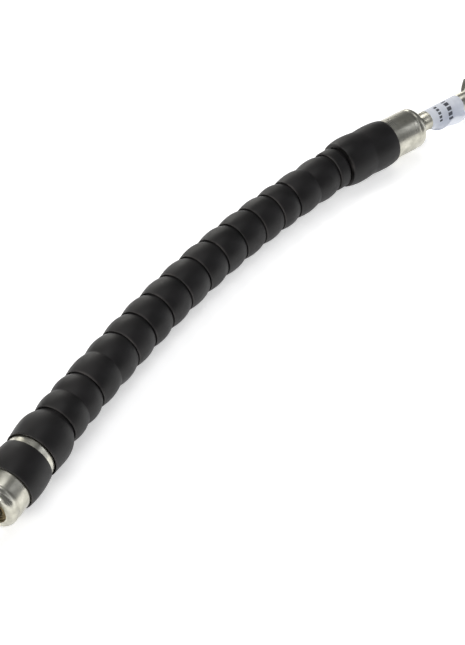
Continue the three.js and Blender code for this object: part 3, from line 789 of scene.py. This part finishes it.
def nut_mesh(name, finish):
    corner_r = NUT_FLAT_R / math.cos(math.radians(30))
    shoulder = sleeve_shoulder - SLEEVE_PLAY
    thread_start = NUT_FRONT - NUT_MOUTH
    outside = [(NUT_BACK, NUT_FACE_R - 0.2), (NUT_BACK + 0.15, NUT_FACE_R)]
    outside += [(NUT_BACK + 0.2 + 0.13 * i, NUT_FACE_R + 0.2 * i) for i in range(1, 11)]
    outside += [(NUT_BACK + 1.7 + i * 2.4, corner_r + 0.5) for i in range(1, 7)]
    outside += [(NUT_FRONT - 0.9 + 0.1 * i, corner_r + 0.4 - 0.2 * i) for i in range(8)] + [(NUT_FRONT, 9.2)]
    thread_steps = int((thread_start - shoulder - 0.8) / THREAD_PITCH * THREAD_POINTS)
    inside = [(NUT_FRONT, NUT_THREAD_R + 1.3, 0), (thread_start, NUT_THREAD_R + 0.4, 0)]
    for i in range(1, thread_steps):
        inside.append((thread_start - i * THREAD_PITCH / THREAD_POINTS, NUT_THREAD_R, 1))
    inside += [(shoulder + 0.8, NUT_THREAD_R, 0), (shoulder, NUT_BACK_R, 0), (NUT_BACK + 0.4, NUT_BACK_R, 0),
               (NUT_BACK, NUT_BACK_R + 0.4, 0)]
    points = []
    for step in range(NUT_STEPS):
        angle = 2 * math.pi * step / NUT_STEPS
        from_flat = (math.degrees(angle) % 60) - 30
        flat_r = NUT_FLAT_R / math.cos(math.radians(from_flat))
        flat_r = min(flat_r, corner_r - 0.12)  # the corner's own small round
        ring = [(x, min(r, flat_r)) for x, r in outside]
        for x, r, cut in inside:
            turn = (x / THREAD_PITCH - angle / (2 * math.pi)) % 1.0
            groove = min(1.0, max(0.0, 2.4 * (1 - abs(2 * turn - 1)) - 0.5))
            ring.append((x, r + cut * THREAD_HEIGHT * groove))
        points += [(r * math.cos(angle) * MM, r * math.sin(angle) * MM, x * MM) for x, r in ring]
    count = len(outside) + len(inside)
    faces = []
    for step in range(NUT_STEPS):
        here, there = step * count, (step + 1) % NUT_STEPS * count
        for i in range(count):
            j = (i + 1) % count
            faces.append((here + i, there + i, there + j, here + j))
    mesh = bpy.data.meshes.new(name)
    mesh.from_pydata(points, [], faces)
    mesh.materials.append(finish)
    face_outwards(mesh)
    mesh.shade_smooth()
    mesh.set_sharp_from_angle(angle=math.radians(28))
    return mesh


for side, (_, run, rim, _, finish) in ENDS.items():
    mesh = nut_mesh(f"{side}_nut_threaded", finish)
    mesh.transform(standing_at(rim, run))
    put(mesh.name, mesh, f"{side}_nut", "nut_steel", f"{side}_nut")
print("nuts threaded, faces each", len(mesh.polygons))

# %% [markdown]
# ## The hose
# The hose runs unseen through the armour: a rubber liner, a layer of braided wire and a rubber
# cover. It must bend with every bead, and one mesh can blend between two bodies only. So it is made
# in lengths, each from the middle of one bead to the middle of the next, with one joint in its middle;
# the lengths are laid in place and ride on no body. Inside a bead the hose lies straight, and it turns near
# the seam.

# %% The hose's line
HOSE_LAYERS = [(4.75, 5.55, rubber), (5.85, 6.5, braid_wire), (6.8, HOSE_R, rubber)]  # bore, outside, finish
HOSE_IN_FERRULE = 24.0
HOSE_TURN = 6.0  # mm either side of a seam over which the hose bends
HOSE_STEPS = 48
STRAIGHT_POINTS = 6  # along each straight stretch
TURN_POINTS = 12  # along each bend
WIRES_ROUND = 29

near_tip = near_start - near_run * HOSE_IN_FERRULE * MM
far_tip = far_start + far_run * HOSE_IN_FERRULE * MM
middles = [(a + b) / 2 for a, b in zip(centres, centres[1:])]


def straight(a, b, steps):
    return [a.lerp(b, i / steps) for i in range(steps)]


def turn_reach(way):
    """How far from a seam the hose may bend, in metres: a short bead leaves less room."""
    return min(HOSE_TURN * MM, 0.9 * way.length)


def hose_line(i):
    """Points along length i of the hose, from the middle of one bead to the middle of the next."""
    first = middles[i - 1] if i else near_tip
    last = middles[i] if i < len(middles) else far_tip
    here = centres[i]
    before, after = here - first, last - here
    a = here - before.normalized() * turn_reach(before)
    b = here + after.normalized() * turn_reach(after)
    turn = []
    for step in range(TURN_POINTS):
        t = step / TURN_POINTS
        turn.append(a * (1 - t) ** 2 + here * 2 * t * (1 - t) + b * t * t)
    return straight(first, a, STRAIGHT_POINTS) + turn + straight(b, last, STRAIGHT_POINTS) + [last]


def hose_mesh(name, line, along):
    """The three layers as closed tubes, with a map in millimetres round and along for the braid's wires."""
    solid = bmesh.new()
    lay = solid.loops.layers.uv.new("lay")
    count = len(line)
    ways = [(line[min(k + 1, count - 1)] - line[max(k - 1, 0)]).normalized() for k in range(count)]
    lengths = [along]
    for a, b in zip(line, line[1:]):
        lengths.append(lengths[-1] + (b - a).length / MM)
    for slot, (bore, outside, _) in enumerate(HOSE_LAYERS):
        walls = []
        for radius in (bore, outside):
            rings = []
            for point, way in zip(line, ways):
                stand = standing_at(point, way)
                rings.append([solid.verts.new(stand @ Vector((
                    radius * MM * math.cos(2 * math.pi * s / HOSE_STEPS),
                    radius * MM * math.sin(2 * math.pi * s / HOSE_STEPS), 0))) for s in range(HOSE_STEPS)])
            walls.append(rings)
        bands = [(walls[1][k], walls[1][k + 1], lengths[k], lengths[k + 1]) for k in range(count - 1)]
        bands += [(walls[0][k + 1], walls[0][k], lengths[k + 1], lengths[k]) for k in range(count - 1)]
        bands += [(walls[0][0], walls[1][0], lengths[0], lengths[0]),
                  (walls[1][-1], walls[0][-1], lengths[-1], lengths[-1])]
        for low, high, v0, v1 in bands:
            for s in range(HOSE_STEPS):
                t = (s + 1) % HOSE_STEPS
                face = solid.faces.new((low[s], low[t], high[t], high[s]))
                face.material_index = slot
                face.smooth = True
                us = [WIRE_PITCH * WIRES_ROUND * x / HOSE_STEPS for x in (s, s + 1, s + 1, s)]
                for loop, u, v in zip(face.loops, us, (v0, v0, v1, v1)):
                    loop[lay].uv = (u, v)
    mesh = bpy.data.meshes.new(name)
    solid.to_mesh(mesh)
    solid.free()
    for _, _, finish in HOSE_LAYERS:
        mesh.materials.append(finish)
    face_outwards(mesh)
    mesh.set_sharp_from_angle(angle=math.radians(50))
    return mesh, lengths[-1]


# %% Lay the hose
hose_at = 0.0
for i, rock in enumerate(rocks):
    name = f"hose_{i:02d}"
    mesh, hose_at = hose_mesh(name, hose_line(i), hose_at)
    length = bpy.data.objects.new(name, mesh)
    bpy.context.scene.collection.objects.link(length)
    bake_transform(length)
    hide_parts("hose_liner", "hose_braid", "hose_cover")
print("hose length, mm:", round(hose_at, 1))

# %% [markdown]
# ## The label
# A printed film is wrapped round the far tube and its two ends are stuck to each other, so that they
# stand off as a small flag. In section it is one ribbon: out from the flag's tip, round the tube and
# back to the tip. The flag is cut round at one side and curls a little, as a film that was rolled does.

# %% Label
LABEL_FROM, LABEL_TO = 9.2, 32.7  # mm past the ferrule's nose
FLAG_SWING = math.radians(48)  # from straight down towards the inside of the bend
FLAG_REACH = 7.4  # mm past the tube
FLAG_ROUND = 3.6  # mm along the tube in which it grows
FLAG_LEAN = 0.35  # how far the flag leans along the tube as it goes out
FILM = 0.12
WRAP_R = TUBE_R + 0.08 + FILM / 2
PRINT_AT = 16.0  # mm, the map's value at the middle of the wrap
WRAP_STEPS = 64


def ribbon(reach, wobble):
    """The film's middle line in section, with u out along the flag and v across it, in mm."""
    meet = WRAP_R + 0.55 * reach
    lift = math.acos(WRAP_R / meet)
    ply = FILM / 2 + 0.015
    flag = [(WRAP_R + reach + (meet - WRAP_R - reach) * k / 8, ply) for k in range(8)]
    foot = (WRAP_R * math.cos(lift), WRAP_R * math.sin(lift))
    slope = [(meet + (foot[0] - meet) * k / 4, ply + (foot[1] - ply) * k / 4) for k in range(4)]
    wrap = []
    for k in range(WRAP_STEPS + 1):
        angle = lift + (2 * math.pi - 2 * lift) * k / WRAP_STEPS
        loose = WRAP_R + wobble * (0.5 - 0.5 * math.cos(4 * math.pi * k / WRAP_STEPS))
        wrap.append((loose * math.cos(angle), loose * math.sin(angle)))
    return flag + slope + wrap + [(u, -v) for u, v in reversed(slope)] + [(u, -v) for u, v in reversed(flag)]


def label_mesh(name):
    stations = 40
    rows, lengths = [], []
    for j in range(stations + 1):
        a = j / stations * (LABEL_TO - LABEL_FROM)
        reach = 0.05 + FLAG_REACH * (1 - math.exp(-a / FLAG_ROUND))
        line = ribbon(reach, 0.10 * math.sin(a * 0.9 + 1.0) ** 2)
        sides = []
        for sign in (1, -1):
            side = []
            for k, (u, v) in enumerate(line):
                p, q = line[max(k - 1, 0)], line[min(k + 1, len(line) - 1)]
                way = Vector((q[0] - p[0], q[1] - p[1])).normalized()
                u1, v1 = u + way.y * FILM / 2 * sign, v - way.x * FILM / 2 * sign
                out = max(0.0, math.hypot(u1, v1) - WRAP_R)
                curl = 0.022 * out * out + 0.03 * out * math.sin(a * 0.35)
                turn = math.pi + FLAG_SWING + curl  # straight down is where the local X points away
                x = u1 * math.cos(turn) - v1 * math.sin(turn)
                y = u1 * math.sin(turn) + v1 * math.cos(turn)
                side.append((x * MM, y * MM, (FERRULE_LENGTH + LABEL_FROM + a + FLAG_LEAN * out) * MM))
            sides.append(side)
        rows.append(sides)
        run = [0.0]
        for p, q in zip(line, line[1:]):
            run.append(run[-1] + math.hypot(q[0] - p[0], q[1] - p[1]))
        half = run[len(run) // 2]
        lengths.append([s - half + PRINT_AT for s in run])  # the same place round for every station's middle
    solid = bmesh.new()
    lay = solid.loops.layers.uv.new("lay")
    verts = [[[solid.verts.new(p) for p in side] for side in sides] for sides in rows]
    last = len(rows[0][0]) - 1
    faces = []
    for j in range(stations):
        for k in range(last):
            faces.append([(j, 0, k), (j, 0, k + 1), (j + 1, 0, k + 1), (j + 1, 0, k)])
            faces.append([(j, 1, k), (j + 1, 1, k), (j + 1, 1, k + 1), (j, 1, k + 1)])
        faces.append([(j, 0, 0), (j + 1, 0, 0), (j + 1, 1, 0), (j, 1, 0)])
        faces.append([(j, 0, last), (j, 1, last), (j + 1, 1, last), (j + 1, 0, last)])
    for k in range(last):
        faces.append([(0, 0, k), (0, 1, k), (0, 1, k + 1), (0, 0, k + 1)])
        faces.append([(stations, 0, k), (stations, 0, k + 1), (stations, 1, k + 1), (stations, 1, k)])
    for corners in faces:
        face = solid.faces.new([verts[j][side][k] for j, side, k in corners])
        face.smooth = True
        for loop, (j, _, k) in zip(face.loops, corners):
            loop[lay].uv = (lengths[j][k], j / stations * (LABEL_TO - LABEL_FROM))
    mesh = bpy.data.meshes.new(name)
    solid.to_mesh(mesh)
    solid.free()
    mesh.materials.append(film)
    volume = face_outwards(mesh)
    mesh.set_sharp_from_angle(angle=math.radians(50))
    return mesh, volume


mesh, volume = label_mesh("tube_label_film")
mesh.transform(standing_at(far_start, far_run))
put("tube_label_film", mesh, "far_end", "label_film", "tube_label")
print("label of", round(volume * 1e9, 1), "cubic mm")

# %% [markdown]
# ## The studio
# The object lies on a pale floor. Four soft boxes and a dim sky light it, so that shadows are faint
# and the black armour is read by its long soft highlights. A low strip at the right gives the thin
# light line along each lip, and the box at the back is what the tubes and nuts mirror on their tops.

# %% Floor and lights
FLOOR_HALF = 3.0  # metres
FLOOR_GAP = 0.2  # mm under the object
floor_mesh = bpy.data.meshes.new("studio_floor")
floor_mesh.from_pydata([(x * FLOOR_HALF, y * FLOOR_HALF, 0) for x, y in ((-1, -1), (1, -1), (1, 1), (-1, 1))],
                       [], [(0, 1, 2, 3)])
floor = bpy.data.objects.new("studio_floor", floor_mesh)
floor.location.z = cad_low.z - FLOOR_GAP * MM
bpy.context.scene.collection.objects.link(floor)
floor_paint, tree, shader, place = new_material("pale_floor")
shader.inputs["Base Color"].default_value = linear("#f6f6f6")
shader.inputs["Roughness"].default_value = 0.9
shader.inputs["Specular IOR Level"].default_value = 0.1
shader.inputs["Emission Color"].default_value = linear("#ffffff")
shader.inputs["Emission Strength"].default_value = 0.5
floor_mesh.materials.append(floor_paint)

AIM = (cad_low + cad_high) / 2
SOFT_BOXES = [  # name, where from (m), width, height (m), watts, colour
    ("box_left", (-0.9, 0.9, 1.3), 0.7, 0.7, 19.0, "#fffdf8"),
    ("box_above", (0.2, 0.1, 1.6), 0.9, 0.9, 5.0, "#ffffff"),
    ("box_near", (-1.3, -0.35, 0.7), 0.6, 0.6, 11.0, "#ffffff"),
    ("strip_right", (1.1, -0.9, 0.5), 0.3, 1.4, 2.0, "#f7f9ff"),
    ("box_back", (0.85, 1.25, 0.55), 0.9, 0.5, 6.0, "#fffdf8"),
]
for name, at, width, height, watts, colour in SOFT_BOXES:
    light = bpy.data.lights.new(name, "AREA")
    light.shape, light.size, light.size_y = "RECTANGLE", width, height
    light.energy = watts
    light.color = linear(colour)[:3]
    lamp = bpy.data.objects.new(name, light)
    lamp.location = at
    lamp.rotation_mode = "QUATERNION"
    lamp.rotation_quaternion = (AIM - Vector(at)).to_track_quat("-Z", "Y")
    bpy.context.scene.collection.objects.link(lamp)

world = bpy.data.worlds.new("pale_sky")
world.use_nodes = True
sky = world.node_tree.nodes["Background"]
sky.inputs["Color"].default_value = linear("#f4f6fa")
sky.inputs["Strength"].default_value = 0.15
bpy.context.scene.world = world
bpy.context.scene.view_settings.view_transform = "Standard"
print("lights:", len(SOFT_BOXES))
